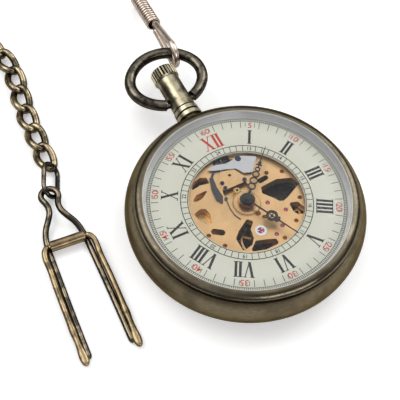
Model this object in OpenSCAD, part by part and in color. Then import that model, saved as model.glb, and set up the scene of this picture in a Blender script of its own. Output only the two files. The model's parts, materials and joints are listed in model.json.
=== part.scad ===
// Open-face skeleton pocket watch with a hand-wound movement, a bow, a spring
// hook, a fob chain and a belt clip. Millimetres. The watch lies on its back:
// +Z comes out of the dial, +Y points to 12 o'clock, +X to 3 o'clock.
// z = 0 is the flat middle of the back cover, on the case axis.

/* [Case] */
// Widest diameter of the case band
case_d = 47.6; // [47.4:0.1:48.6]
// Height of the widest line of the band above the table
band_z = 7; // [6.9:0.05:7.1]
// Radius of the band's outward curve
band_curve = 6; // [5.8:0.1:6.4]
// Top of the crystal's dome
crystal_top = 13.7; // [13.5:0.1:14.2]
// Thickness of the crystal
crystal_t = 0.9; // [0.7:0.05:1]

/* [Dial and hands] */
// Upper face of the dial
dial_z = 10.5; // [10.4:0.05:10.6]
// Radius of the round opening that shows the movement
aperture_r = 11.4; // [11:0.1:12]
// Angle of the minute hand, clockwise from 12 o'clock
minute_angle = 44.5; // [0:0.5:359.5]
// Whole hours shown
hour_shown = 5; // [0:1:11]
// Length of the minute hand from the centre
minute_len = 12.7; // [12:0.1:17]
// Length of the hour hand from the centre
hour_len = 12; // [11:0.1:12.5]

/* [Pendant, crown and bow] */
// Height of the winding stem's axis
stem_z = 7.3; // [7.3:0.01:7.3]
// Outer radius of the pendant tube at its foot
pendant_r = 2.47; // [2.4:0.01:2.47]
// Radius of the fluted crown
crown_r = 2.8; // [2.6:0.05:2.9]
// Number of flutes round the crown
crown_flutes = 24; // [20:1:26]
// Radius of the bow's round wire
bow_rod_r = 1.18; // [1.1:0.01:1.18]
// Distance of the bow's pivot from the case axis
bow_pivot_y = 28.8; // [28.6:0.1:29]

/* [Wheel train] */
// Teeth of the mainspring barrel
barrel_teeth = 77; // [72:1:80]
// Leaves of the centre pinion
center_leaves = 12; // [10:1:14]
// Teeth of the centre wheel
center_teeth = 80; // [75:1:84]
// Leaves of the third pinion
third_leaves = 10; // [10:1:12]
// Teeth of the third wheel
third_teeth = 75; // [70:1:80]
// Leaves of the fourth pinion
fourth_leaves = 10; // [10:1:12]
// Teeth of the fourth wheel
fourth_teeth = 80; // [75:1:84]
// Leaves of the escape pinion
escape_leaves = 8; // [7:1:10]
// Teeth of the escape wheel
escape_teeth = 15; // [15:1:15]
// Teeth of the minute wheel
minute_teeth = 36; // [36:1:36]
// Leaves of the cannon pinion
cannon_leaves = 12; // [12:1:12]
// Leaves of the minute pinion
minute_leaves = 9; // [9:1:9]
// Teeth of the hour wheel
hour_teeth = 36; // [36:1:36]
// Teeth of the setting wheel
setting_teeth = 17; // [17:1:17]
// Teeth of the ratchet wheel
ratchet_teeth = 48; // [44:1:50]
// Teeth of the crown wheel
crown_wheel_teeth = 31; // [29:1:33]
// Teeth of the winding pinion
winding_leaves = 13; // [12:1:16]

/* [Hook, chain and clip] */
// Radius of the hook's wire
hook_rod_r = 0.75; // [0.7:0.01:0.76]
// Slope of the hook down to the table, in degrees
hook_slope = 14; // [13.5:0.1:14.2]
// Outer radius of the hook's ribbed sleeve
sleeve_r = 1.62; // [1.55:0.01:1.65]
// Width of the chain across its links
chain_w = 4.5; // [4.2:0.1:4.6]
// Height of the chain lying flat
chain_h = 2.3; // [2.1:0.1:2.4]
// Wire radius of the clip's frame
clip_rod_r = 0.65; // [0.55:0.01:0.66]

/* [Hidden] */
$fn = 64;
gap = 0.02;
case_r = case_d / 2;
// Angle of the hour hand: it follows from the minute hand
hour_angle = hour_shown * 30 + minute_angle / 12;
// Axis positions in the plane of the movement
barrel_at = [-6.2, 2.6];
third_at = [3.8, -1.55];
fourth_at = [6.25, -4.47];
escape_at = [3.9, -7.3];
pallet_at = [1.985, -8.48];
balance_at = [-0.4, -6.5];
minute_at = [-0.37, 3.354];
setting_at = [-0.1, 7.08];
crown_wheel_at = [0, 8.3];
click_at = [-10.4, 6.9];
// Module of each mesh: twice the centre distance over the teeth of both wheels
function dist(a, b) = sqrt((a[0] - b[0]) * (a[0] - b[0]) + (a[1] - b[1]) * (a[1] - b[1]));
m_barrel = 2 * dist(barrel_at, [0, 0]) / (barrel_teeth + center_leaves);
m_center = 2 * dist(third_at, [0, 0]) / (center_teeth + third_leaves);
m_third = 2 * dist(third_at, fourth_at) / (third_teeth + fourth_leaves);
m_fourth = 2 * dist(fourth_at, escape_at) / (fourth_teeth + escape_leaves);
m_minute = 2 * dist(minute_at, [0, 0]) / (minute_teeth + cannon_leaves);
m_hour = 2 * dist(minute_at, [0, 0]) / (hour_teeth + minute_leaves);
// Turn of a gear b that puts its teeth into the gaps of gear a, whose own turn is pa
function heading(a, b) = atan2(b[1] - a[1], b[0] - a[0]);
function meshed(a, b, na, pa, nb) = heading(a, b) + 180 + 180 / nb + (heading(a, b) - pa) * na / nb;
minute_turn = meshed([0, 0], minute_at, cannon_leaves, 0, minute_teeth);
m_ratchet = 2 * dist(barrel_at, crown_wheel_at) / (ratchet_teeth + crown_wheel_teeth);
// Levels of the movement, from the back to the dial
bridge_z = 4.95;
bridge_top = 5.68;
plate_z = 7.75;
plate_top = 9.5;
plate_r = 13;
// The bow: four arcs make its oval
bow_side_r = 5.8;
bow_top_r = 8.3;
bow_mid_y = bow_pivot_y + 6.6;
// The hook hangs on the bow here, and heads a little towards 3 o'clock
hook_at = [4.2, 41.1, stem_z];
hook_heading = -5;
hook_bend_r = 2.5;
// The chain: two runs and a coil that holds the length which isn't stretched out
chain_z = chain_h / 2 + 0.05;
run_a = [[6.9, 68], [7.1, 70], [7.5, 73], [8.2, 76.5], [9.2, 80], [10.6, 84.2]];
run_b = [[-28.9, 85], [-29.8, 79], [-30.4, 73], [-30, 67.5], [-28.4, 62.4], [-27, 57.3], [-27.5, 51.7],
    [-28.4, 46.5], [-29, 41.3], [-29.2, 36], [-29.6, 31], [-29.5, 28.6]];
coil_at = [-9, 97];
// The clip hangs from the oval ring
clip_at = [-32.45, 22.3];
ring_at = clip_at + [1.68, 3.4];
clip_z = 2.04;
clip_turn = -4;
// The clip's bar lies this far from the eye
bar_y = -11.05;
bar_z = 1.9;
bar_x = -0.2;

// ---------- helpers ----------

// A round rod between two points, with its own radius at each end
module rod(a, b, r1, r2) {
    d = b - a;
    len = norm(d);
    translate(a)
        rotate([0, acos(d[2] / len), atan2(d[1], d[0])])
            cylinder(h = len, r1 = r1, r2 = r2, $fn = 32);
}

// A tube along Z
module tube(h, r_out, r_in) {
    difference() {
        cylinder(h = h, r = r_out);
        translate([0, 0, -1])
            cylinder(h = h + 2, r = r_in);
    }
}

// Outline of a gear: the tooth is a little narrower than the gap, for backlash
function gear_points(n, tip, root, wide) = [
    for (i = [0 : n - 1], k = [0 : 3])
        let (a = 360 / n * (i + [-0.25, -0.1, 0.1, 0.25][k] * wide))
        let (r = [root, tip, tip, root][k])
        [r * cos(a), r * sin(a)]];

// A flat gear of module m with n teeth
module gear(n, m, h, wide = 0.92) {
    linear_extrude(height = h)
        polygon(gear_points(n, n * m / 2 + 0.8 * m, n * m / 2 - 1.05 * m, wide));
}

// A wheel: toothed rim, hub and straight spokes
module wheel(n, m, h, rim, hub, spokes, spoke_w) {
    inner = n * m / 2 - 1.05 * m - rim;
    linear_extrude(height = h)
        difference() {
            polygon(gear_points(n, n * m / 2 + 0.8 * m, n * m / 2 - 1.05 * m, 0.92));
            difference() {
                circle(r = inner);
                circle(r = hub);
                for (i = [0 : spokes - 1])
                    rotate(i * 360 / spokes)
                        translate([0, -spoke_w / 2])
                            square([inner + 0.1, spoke_w]);
            }
        }
}

// A flat outline with rounded corners: points joined by bars as wide as 2r
module rounded(points, r) {
    polygon(points);
    n = len(points);
    for (i = [0 : n - 1]) {
        a = points[i];
        b = points[(i + 1) % n];
        translate(a)
            circle(r = r, $fn = 32);
        translate(a)
            rotate(atan2(b[1] - a[1], b[0] - a[0]))
                translate([0, -0.985 * r])
                    square([norm(b - a), 1.97 * r]);
    }
}

// A bar with round ends between two points in the plane
module bar(a, b, w) {
    translate(a)
        circle(r = w / 2, $fn = 32);
    translate(b)
        circle(r = w / 2, $fn = 32);
    translate(a)
        rotate(atan2(b[1] - a[1], b[0] - a[0]))
            translate([0, -0.4925 * w])
                square([norm(b - a), 0.985 * w]);
}

// Outline of a flat spiral spring, from radius r0 to r1 in so many turns
function spiral(r0, r1, turns, w, steps) = concat(
    [for (i = [0 : steps * turns]) let (a = i * 360 / steps, r = r0 + (r1 - r0) * i / (steps * turns))
        [(r + w / 2) * cos(a), (r + w / 2) * sin(a)]],
    [for (j = [0 : steps * turns]) let (i = steps * turns - j, a = i * 360 / steps,
        r = r0 + (r1 - r0) * i / (steps * turns)) [(r - w / 2) * cos(a), (r - w / 2) * sin(a)]]);

// A slotted screw head and shank, head on top
module screw(at, z, head_r, head_h, shank_r, shank_h) {
    translate([at[0], at[1], z]) {
        difference() {
            cylinder(h = head_h, r = head_r, $fn = 32);
            translate([-head_r - 1, -head_r * 0.16, head_h * 0.55])
                cube([2 * head_r + 2, head_r * 0.32, head_h]);
        }
        translate([0, 0, -shank_h])
            cylinder(h = shank_h, r = shank_r, $fn = 32);
    }
}

// ---------- case ----------

module case_band() {
    color([0.55, 0.48, 0.33])
        difference() {
            rotate_extrude() {
                intersection() {
                    translate([case_r - band_curve, band_z])
                        circle(r = band_curve);
                    translate([20.95, 3.3])
                        square([5, 7.45]);
                }
                translate([20.95, 2.75])
                    square([0.35, 8.5]);
            }
            // Hole for the pendant's foot
            translate([0, 19, stem_z])
                rotate([-90, 0, 0])
                    cylinder(h = 6, r = 1.95);
        }
}

module back_cover() {
    dome_r = 67.8;
    dome_z = 66.7;
    color([0.5, 0.44, 0.3])
        rotate_extrude()
            difference() {
                intersection() {
                    translate([0, dome_z])
                        circle(r = dome_r, $fn = 128);
                    square([22.05, 3.25]);
                }
                intersection() {
                    translate([0, dome_z])
                        circle(r = dome_r - 0.75, $fn = 128);
                    translate([-1, 0.75])
                        square([21.3, 4]);
                }
                translate([-1, 2.73])
                    square([22.32, 1]);
            }
}

module bezel() {
    color([0.62, 0.55, 0.4])
        rotate_extrude()
            difference() {
                intersection() {
                    translate([20.6, 10.7])
                        circle(r = 1.7);
                    translate([20.42, 11])
                        square([1.7, 3]);
                }
                translate([19, 10])
                    square([1.92, 1.92]);
                translate([19, 10])
                    square([2.32, 1.28]);
                translate([21.65, 10.9])
                    square([1, 0.3]);
            }
}

module crystal() {
    dome_r = 172.3;
    color([0.9, 0.95, 0.97, 0.35])
        rotate_extrude()
            intersection() {
                difference() {
                    translate([0, crystal_top - dome_r])
                        circle(r = dome_r, $fn = 180);
                    translate([0, crystal_top - dome_r])
                        circle(r = dome_r - crystal_t, $fn = 180);
                }
                translate([0, 11.94])
                    square([20.2, 4]);
            }
}

module crystal_gasket() {
    color([0.85, 0.85, 0.82])
        translate([0, 0, 11.94])
            tube(0.3, 20.4, 20.22);
}

// Polished ring between the dial and the crystal
module dial_ring() {
    color([0.85, 0.86, 0.88])
        rotate_extrude()
            polygon([[19.5, dial_z + 0.01], [20.9, dial_z + 0.01], [20.9, 11.9], [20.38, 11.9],
                [20.3, 11.7], [19.62, 10.75]]);
}

module movement_ring() {
    color([0.25, 0.24, 0.24])
        difference() {
            translate([0, 0, 5])
                tube(4.9, 20.9, 13.05);
            // Way through for the stem
            translate([0, 12, stem_z])
                rotate([-90, 0, 0])
                    cylinder(h = 10, r = 0.48, $fn = 32);
            // Lightening pockets open to the back
            for (a = [20, 65, 115, 160, 205, 250, 290, 335])
                rotate(a)
                    translate([17, 0, 4])
                        cylinder(h = 4.4, r = 2.3);
        }
}

module case_screws() {
    color([0.35, 0.42, 0.6])
        for (a = [45, 225])
            rotate(a)
                translate([13.7, 0, 0])
                    difference() {
                        translate([0, 0, 4.5])
                            cylinder(h = 0.44, r = 1.1, $fn = 32);
                        translate([-2, -0.15, 4.4])
                            cube([4, 0.3, 0.3]);
                    }
}

// ---------- pendant, crown, stem and bow ----------

module pendant() {
    color([0.7, 0.66, 0.5])
        translate([0, 0, stem_z])
            rotate([-90, 0, 0])
                difference() {
                    union() {
                        // Foot in the band's hole
                        translate([0, 0, 21.2])
                            cylinder(h = 2.9, r = 1.93);
                        // Ringed collar
                        translate([0, 0, 23.9])
                            cylinder(h = 0.9, r = 2.75);
                        translate([0, 0, 24.8])
                            cylinder(h = 0.5, r = 2.2);
                        translate([0, 0, 25.3])
                            cylinder(h = 0.9, r = 2.65);
                        translate([0, 0, 26.2])
                            cylinder(h = 0.4, r = 2.15);
                        // Smooth tube, a little thinner at its top
                        translate([0, 0, 26.6])
                            cylinder(h = 7.9, r1 = pendant_r, r2 = pendant_r - 0.05);
                    }
                    translate([0, 0, 20])
                        cylinder(h = 16, r = 1.3);
                    // Holes for the bow's pins
                    translate([0, 0, bow_pivot_y])
                        rotate([0, 90, 0])
                            translate([0, 0, -4])
                                cylinder(h = 8, r = 0.6, $fn = 32);
                }
}

module crown() {
    flute_r = 0.27;
    color([0.72, 0.66, 0.48])
        translate([0, 0, stem_z])
            rotate([-90, 0, 0])
                difference() {
                    union() {
                        translate([0, 0, 34.65])
                            cylinder(h = 0.45, r1 = 2.3, r2 = crown_r);
                        translate([0, 0, 35.1])
                            cylinder(h = 2.1, r = crown_r);
                        translate([0, 0, 37.2])
                            cylinder(h = 0.35, r1 = crown_r, r2 = 2.3);
                        translate([0, 0, 32.7])
                            cylinder(h = 2, r = 1.22);
                    }
                    for (i = [0 : crown_flutes - 1])
                        rotate(i * 360 / crown_flutes)
                            translate([crown_r + 0.04, 0, 34.3])
                                cylinder(h = 4, r = flute_r, $fn = 16);
                    translate([0, 0, 32.3])
                        cylinder(h = 3.2, r = 0.42, $fn = 32);
                }
}

module winding_stem() {
    color([0.6, 0.62, 0.65])
        translate([0, 0, stem_z])
            rotate([-90, 0, 0])
                difference() {
                    translate([0, 0, 8.5])
                        cylinder(h = 27, r = 0.42, $fn = 32);
                    // Groove for the setting lever's post
                    translate([0, 0, 11.7])
                        tube(0.5, 1, 0.28);
                }
}

// One arc of the bow; the arcs run a little way into each other
module bow_arc(r, a, sweep, rod_r) {
    rotate(a - sweep / 2)
        rotate_extrude(angle = sweep)
            translate([r, 0])
                circle(r = rod_r, $fn = 32);
}

module bow() {
    side_x = 7.8 - bow_side_r;
    drop = bow_top_r - 6.8;
    half = atan2(side_x, drop);
    color([0.36, 0.34, 0.28])
        translate([0, bow_mid_y, stem_z]) {
            translate([0, -drop, 0])
                bow_arc(bow_top_r, 90, 2 * half + 3, bow_rod_r - 0.012);
            for (s = [-1, 1]) {
                translate([s * side_x, 0, 0])
                    bow_arc(bow_side_r, s > 0 ? 0 : 180, 180 - 2 * half, bow_rod_r);
            }
            // Lower arcs, which stop short of the pendant
            for (s = [-1, 1])
                translate([0, drop, 0])
                    bow_arc(bow_top_r, 270 + s * (half + 22.5) / 2, half - 19.5, bow_rod_r - 0.012);
            // Pins in the pendant's holes
            for (s = [-1, 1])
                translate([s * 2.5, bow_pivot_y - bow_mid_y, 0])
                    rotate([0, 90, 0])
                        translate([0, 0, -0.8])
                            cylinder(h = 1.6, r = 0.55, $fn = 32);
        }
}

// ---------- dial and hands ----------

module dial() {
    color([0.82, 0.82, 0.72])
        difference() {
            translate([0, 0, dial_z - 0.4])
                cylinder(h = 0.4, r = 20.3);
            translate([0, 0, dial_z - 1])
                cylinder(h = 2, r = aperture_r);
        }
}

module ring2d(at, r_out, r_in) {
    translate(at)
        difference() {
            circle(r = r_out, $fn = 32);
            circle(r = r_in, $fn = 32);
        }
}

// Minute hand: open rings that get smaller, then a long needle
module minute_hand() {
    color([0.08, 0.08, 0.12])
        translate([0, 0, 11.45])
            rotate(-minute_angle)
                linear_extrude(height = 0.18)
                    difference() {
                        union() {
                            circle(r = 1.15);
                            bar([0, 1], [0, 2.2], 0.5);
                            ring2d([0, 2.85], 0.82, 0.56);
                            ring2d([0, 4.25], 0.84, 0.58);
                            ring2d([0, 5.8], 0.74, 0.5);
                            ring2d([0, 7.05], 0.54, 0.32);
                            bar([-0.45, 8.1], [0.45, 8.1], 0.3);
                            translate([0, 8.6])
                                circle(r = 0.36, $fn = 32);
                            bar([0, 7.5], [0, 9.3], 0.28);
                            polygon([[-0.13, 9], [0.13, 9], [0.06, minute_len], [-0.06, minute_len]]);
                        }
                        circle(r = 0.71, $fn = 32);
                    }
}

// Hour hand: a thin neck, a round head with small lobes, then a needle
module hour_hand() {
    color([0.08, 0.08, 0.12])
        translate([0, 0, 10.9])
            rotate(-hour_angle)
                linear_extrude(height = 0.18)
                    difference() {
                        union() {
                            circle(r = 1.5);
                            bar([0, 1.3], [0, 5], 0.3);
                            ring2d([0, 5.8], 1.18, 0.62);
                            translate([0, 5.8])
                                circle(r = 0.3, $fn = 32);
                            bar([0, 5.3], [0, 6.3], 0.16);
                            bar([-0.7, 5.8], [0.7, 5.8], 0.16);
                            for (s = [-1, 0, 1])
                                translate([s * 0.42, 7.15 + (s == 0 ? 0.3 : 0)])
                                    circle(r = 0.3, $fn = 32);
                            polygon([[-0.15, 7], [0.15, 7], [0.07, hour_len], [-0.07, hour_len]]);
                        }
                        circle(r = 1.02, $fn = 32);
                    }
}

// ---------- movement: plates and bridges ----------

// Openings of the main plate, seen from the dial
module plate_openings() {
    // Wide fan on the right
    rounded([[4.7, 1.7], [7.9, 2.0], [10.5, 1.1], [11.0, -0.1], [8.0, -1.6], [6.6, -2.1], [5.4, -0.4], [4.4, 0.9]], 0.5);
    // Short slot above it
    bar([4.9, 3.5], [6.2, 3.7], 1.1);
    // Bean below it
    rounded([[8.0, -4.0], [8.9, -4.3], [9.3, -5.5], [8.9, -6.2], [8.3, -6.1], [7.9, -5.3]], 0.5);
    // Window over the barrel's teeth
    rounded([[-8.0, 7.6], [-6.9, 8.5], [-5.6, 8.9], [-4.7, 8.5], [-4.7, 7.6], [-6.4, 7.9]], 0.3);
    // Two leaves over the barrel
    rounded([[-9.0, 4.9], [-8.0, 5.7], [-6.0, 5.8], [-7.4, 4.9], [-8.3, 4.7]], 0.22);
    rounded([[-10.0, 2.0], [-8.8, 2.4], [-8.1, 2.1], [-7.9, 1.1], [-8.3, -0.6], [-9.0, -0.6], [-9.8, 0.4]], 0.35);
    // Boomerang and lobe over the balance
    rounded([[-5.2, -6.2], [-4.1, -5.1], [-1.7, -3.6], [-1.3, -4.1], [-2.4, -5.2], [-2.8, -7.2], [-3.6, -8.2],
        [-5.2, -8.6]], 0.4);
    rounded([[-3.6, -9.6], [-2.3, -8.5], [-0.3, -9.1], [1.0, -9.6], [1.0, -10.1], [-1.4, -10.2]], 0.4);
    // Winding pinion and clutch
    translate([-1.8, 8.45])
        square([3.6, 3.45]);
    bar([-1.9, 9.9], [1.9, 9.9], 1.2);
    translate([-1, 11.8])
        square([2.3, 2]);
    // Barrel window at the lower left
    bar([-8.6, -2.9], [-7.4, -3.7], 1.3);
}

module main_plate() {
    color([0.87, 0.74, 0.55])
        difference() {
            union() {
                translate([0, 0, plate_z])
                    linear_extrude(height = plate_top - plate_z)
                        difference() {
                            circle(r = plate_r, $fn = 96);
                            plate_openings();
                        }
            }
            // Recesses for the minute wheel and the setting wheel
            translate([minute_at[0], minute_at[1], 8.2])
                cylinder(h = 2, r = 2.8);
            translate([setting_at[0], setting_at[1], 8.2])
                cylinder(h = 2, r = 1.45);
            translate([0, 0, 8.2])
                cylinder(h = 2, r = 1.2);
            // Centre arbor, and seats of the jewels
            translate([0, 0, 7])
                cylinder(h = 3, r = 0.45, $fn = 32);
            for (p = [third_at, fourth_at, escape_at, pallet_at])
                translate([p[0], p[1], 7])
                    cylinder(h = 3, r = 0.47, $fn = 32);
            translate([balance_at[0], balance_at[1], 7])
                cylinder(h = 3, r = 1.17);
            translate([barrel_at[0], barrel_at[1], 7])
                cylinder(h = 1.65, r = 0.65, $fn = 32);
            // Tapped and steady-pin holes
            for (p = [[6.9, 4.6], [9.9, 3.6], [10.1, -3.2], [6.9, -7.5], [1.7, -4.1], [3.0, -9.9], [-10.0, -3.2], [-8.2, -6.5]])
                translate([p[0], p[1], 8.3])
                    cylinder(h = 2, r = 0.45, $fn = 32);
            translate([0.95, -2.9, 8.3])
                cylinder(h = 2, r = 0.55, $fn = 32);
            // Screw holes
            for (p = [[3.15, 9.68], [-2.3, 6.0], [-2.24, 4.75], [2.1, 4.9]])
                translate([p[0], p[1], 8.4])
                    cylinder(h = 2, r = 0.25, $fn = 24);
            // Pivots of the setting lever and the yoke
            for (p = [[3.3, 11.5], [-3.6, 8]])
                translate([p[0], p[1], 8.4])
                    cylinder(h = 2, r = 0.33, $fn = 24);
            // Square notch at the rim
            translate([5.2, -10.2, 8.6])
                rotate(-30)
                    cube([0.9, 1, 2]);
        }
}

module balance_room() {
    translate([balance_at[0], balance_at[1], 0])
        cylinder(h = 9, r = 4.02);
}

module barrel_bridge() {
    color([0.85, 0.72, 0.52])
        difference() {
            union() {
                translate([0, 0, bridge_z])
                    linear_extrude(height = bridge_top - bridge_z)
                        intersection() {
                            circle(r = 12.9, $fn = 96);
                            polygon([[-13, -3.2], [-2.2, -2.4], [-1.4, 1.5], [2.2, 4.4], [6, 13], [-13, 13]]);
                        }
                for (p = [[-11.6, -2.5], [-5.2, 10.6], [3.85, 11.05]])
                    translate([p[0], p[1], bridge_top - 0.1])
                        cylinder(h = plate_z - bridge_top + 0.1, r = 0.95, $fn = 32);
            }
            balance_room();
            translate([barrel_at[0], barrel_at[1], 4])
                cylinder(h = 3, r = 0.85, $fn = 32);
            // Groove for the crown wheel's lower teeth, and the pinion's opening
            translate([0, crown_wheel_at[1], 4])
                tube(1.5, 3.42, 2.6);
            translate([-2.1, 10.6, 4])
                cube([4.2, 1.5, 3]);
            // Click's pivot hole
            translate([click_at[0], click_at[1], 4])
                cylinder(h = 3, r = 0.33, $fn = 24);
        }
}

module train_bridge() {
    color([0.85, 0.72, 0.52])
        difference() {
            union() {
                translate([0, 0, bridge_z])
                    linear_extrude(height = bridge_top - bridge_z)
                        intersection() {
                            circle(r = 12.9, $fn = 96);
                            polygon([[-1.9, -2.3], [-1.15, 1.35], [2.45, 4.2], [6.3, 13], [13, 13], [13, -13],
                                [2.9, -13], [2.9, -9]]);
                        }
                for (p = [[11.2, 3.5], [11.3, -3.9], [4.5, -11]])
                    translate([p[0], p[1], bridge_top - 0.1])
                        cylinder(h = plate_z - bridge_top + 0.1, r = 0.95, $fn = 32);
            }
            balance_room();
            for (p = [[0, 0], third_at, fourth_at])
                translate([p[0], p[1], 4])
                    cylinder(h = 3, r = 0.47, $fn = 32);
            translate([escape_at[0], escape_at[1], 4])
                cylinder(h = 3, r = 0.32, $fn = 24);
        }
}

module balance_cock() {
    color([0.87, 0.75, 0.56])
        difference() {
            union() {
                translate([0, 0, 3.9])
                    linear_extrude(height = 0.6)
                        rounded([[-0.4, -6.5], [-3.9, -10.6], [-5.9, -9.6]], 1.1);
                translate([-5.1, -10.25, 4.4])
                    cylinder(h = plate_z - 4.4, r = 1.2);
            }
            translate([balance_at[0], balance_at[1], 3])
                cylinder(h = 3, r = 0.5, $fn = 32);
            translate([-5.1, -10.25, 3])
                cylinder(h = 1.2, r = 0.6, $fn = 32);
        }
}

module pallet_bridge() {
    color([0.85, 0.72, 0.52])
        difference() {
            union() {
                translate([0, 0, 5.76])
                    linear_extrude(height = 0.34) {
                        bar([1.985, -8.48], [2.2, -11.4], 1.2);
                        bar([1.985, -8.48], [0.3, -10.7], 1.2);
                    }
                for (p = [[2.2, -11.4], [0.3, -10.7]])
                    translate([p[0], p[1], 6])
                        cylinder(h = plate_z - 6, r = 0.6, $fn = 32);
            }
            translate([pallet_at[0], pallet_at[1], 5])
                cylinder(h = 2, r = 0.14, $fn = 24);
        }
}

// Small gold bridge over the setting wheel
module minute_bridge() {
    color([0.88, 0.72, 0.45])
        difference() {
            translate([0, 0, 9.52])
                linear_extrude(height = 0.28)
                    rounded([[2.2, 5.0], [1.0, 7.6], [-1.3, 8.0], [-2.3, 6.1], [-2.3, 4.9]], 0.5);
            for (p = [[-2.3, 6.0], [-2.24, 4.75], [2.1, 4.9]])
                translate([p[0], p[1], 9])
                    cylinder(h = 2, r = 0.25, $fn = 24);
            translate([setting_at[0], setting_at[1], 9])
                cylinder(h = 2, r = 0.3, $fn = 24);
        }
}

// ---------- movement: barrel and winding work ----------

module barrel_drum() {
    color([0.7, 0.68, 0.62])
        translate([barrel_at[0], barrel_at[1], 0])
            difference() {
                union() {
                    translate([0, 0, 6.05])
                        cylinder(h = 1.2, r = 5.45, $fn = 96);
                    translate([0, 0, 7.2])
                        rotate(meshed([0, 0], barrel_at, center_leaves, 0, barrel_teeth))
                            gear(barrel_teeth, m_barrel, 0.4);
                }
                translate([0, 0, 6.3])
                    cylinder(h = 0.95, r = 5.2, $fn = 96);
                translate([0, 0, 5])
                    cylinder(h = 4, r = 0.65, $fn = 32);
            }
}

module mainspring() {
    color([0.75, 0.76, 0.8])
        translate([barrel_at[0], barrel_at[1], 6.35])
            linear_extrude(height = 0.85)
                polygon(spiral(1.25, 5.0, 6, 0.16, 24));
}

module barrel_arbor() {
    color([0.6, 0.62, 0.65])
        translate([barrel_at[0], barrel_at[1], 0]) {
            translate([0, 0, 4.0])
                cylinder(h = 4.55, r = 0.6, $fn = 32);
            translate([0, 0, 6.35])
                cylinder(h = 0.85, r = 1.12, $fn = 32);
            translate([0, 0, 3.85])
                cylinder(h = 0.4, r = 1.2, $fn = 32);
        }
}

module ratchet_wheel() {
    tip = ratchet_teeth * m_ratchet / 2 + 0.5 * m_ratchet;
    root = ratchet_teeth * m_ratchet / 2 - 0.9 * m_ratchet;
    color([0.75, 0.76, 0.78])
        translate([barrel_at[0], barrel_at[1], 4.4])
            difference() {
                rotate(meshed(crown_wheel_at, barrel_at, crown_wheel_teeth, 0, ratchet_teeth))
                    linear_extrude(height = 0.45)
                        polygon(gear_points(ratchet_teeth, tip, root, 0.8));
                translate([0, 0, -1])
                    cylinder(h = 3, r = 0.61, $fn = 32);
            }
}

module crown_wheel() {
    tip = crown_wheel_teeth * m_ratchet / 2 + 0.5 * m_ratchet;
    root = crown_wheel_teeth * m_ratchet / 2 - 0.9 * m_ratchet;
    color([0.75, 0.76, 0.78])
        translate([crown_wheel_at[0], crown_wheel_at[1], 0]) {
            difference() {
                translate([0, 0, 4.4])
                    linear_extrude(height = 0.45)
                        polygon(gear_points(crown_wheel_teeth, tip, root, 0.8));
                translate([0, 0, 4])
                    cylinder(h = 3, r = 1.05, $fn = 32);
            }
            // Teeth on the underside, which the winding pinion turns
            difference() {
                translate([0, 0, 4.8])
                    tube(0.6, 3.2, 2.75);
                for (i = [0 : crown_wheel_teeth - 1])
                    rotate(i * 360 / crown_wheel_teeth)
                        translate([2, -0.15, 5.1])
                            cube([2, 0.3, 1]);
            }
        }
}

module click() {
    color([0.6, 0.62, 0.66])
        translate([click_at[0], click_at[1], 0]) {
            translate([0, 0, 4.42])
                linear_extrude(height = 0.4) {
                    bar([0, 0], [-0.45, -0.85], 0.8);
                    bar([-0.45, -0.85], [-0.41, -1.73], 0.2);
                }
            translate([0, 0, 4.3])
                cylinder(h = 1.2, r = 0.3, $fn = 24);
        }
}

module click_spring() {
    color([0.75, 0.76, 0.8])
        translate([0, 0, 4.5])
            linear_extrude(height = 0.25)
                difference() {
                    circle(r = 12.5, $fn = 96);
                    circle(r = 12.3, $fn = 96);
                    translate([-14, -20])
                        square([28, 21]);
                    translate([-14, 5])
                        square([28, 20]);
                    translate([-8, -20])
                        square([30, 40]);
                }
}

// ---------- movement: going train ----------

module center_wheel() {
    color([0.86, 0.72, 0.45]) {
        translate([0, 0, 5.75])
            wheel(center_teeth, m_center, 0.2, 0.45, 0.9, 5, 0.4);
        translate([0, 0, 7.0])
            gear(center_leaves, m_barrel, 0.7, 0.8);
        translate([0, 0, 5.0])
            cylinder(h = 5.2, r = 0.4, $fn = 32);
    }
}

module third_wheel() {
    color([0.86, 0.72, 0.45])
        translate([third_at[0], third_at[1], 0]) {
            translate([0, 0, 6.4])
                wheel(third_teeth, m_third, 0.2, 0.4, 0.8, 5, 0.35);
            translate([0, 0, 5.72])
                rotate(meshed([0, 0], third_at, center_teeth, 0, third_leaves))
                    gear(third_leaves, m_center, 0.6, 0.75);
            translate([0, 0, 5.1])
                cylinder(h = 4.2, r = 0.14, $fn = 24);
            translate([0, 0, 5.7])
                cylinder(h = 1.8, r = 0.2, $fn = 24);
        }
}

module fourth_wheel() {
    color([0.86, 0.72, 0.45])
        translate([fourth_at[0], fourth_at[1], 0]) {
            translate([0, 0, 7.2])
                wheel(fourth_teeth, m_fourth, 0.2, 0.4, 0.8, 5, 0.35);
            translate([0, 0, 6.3])
                rotate(meshed(third_at, fourth_at, third_teeth, 0, fourth_leaves))
                    gear(fourth_leaves, m_third, 0.6, 0.75);
            translate([0, 0, 5.1])
                cylinder(h = 4.2, r = 0.14, $fn = 24);
            translate([0, 0, 5.75])
                cylinder(h = 1.9, r = 0.22, $fn = 24);
        }
}

// Club teeth that lean into the turn
function escape_points(n, tip, root) = [
    for (i = [0 : n - 1], k = [0 : 3])
        let (a = 360 / n * (i + [0.02, 0.3, 0.42, 0.5][k]))
        let (r = [root, tip, tip - 0.08, root][k])
        [r * cos(a), r * sin(a)]];

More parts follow.
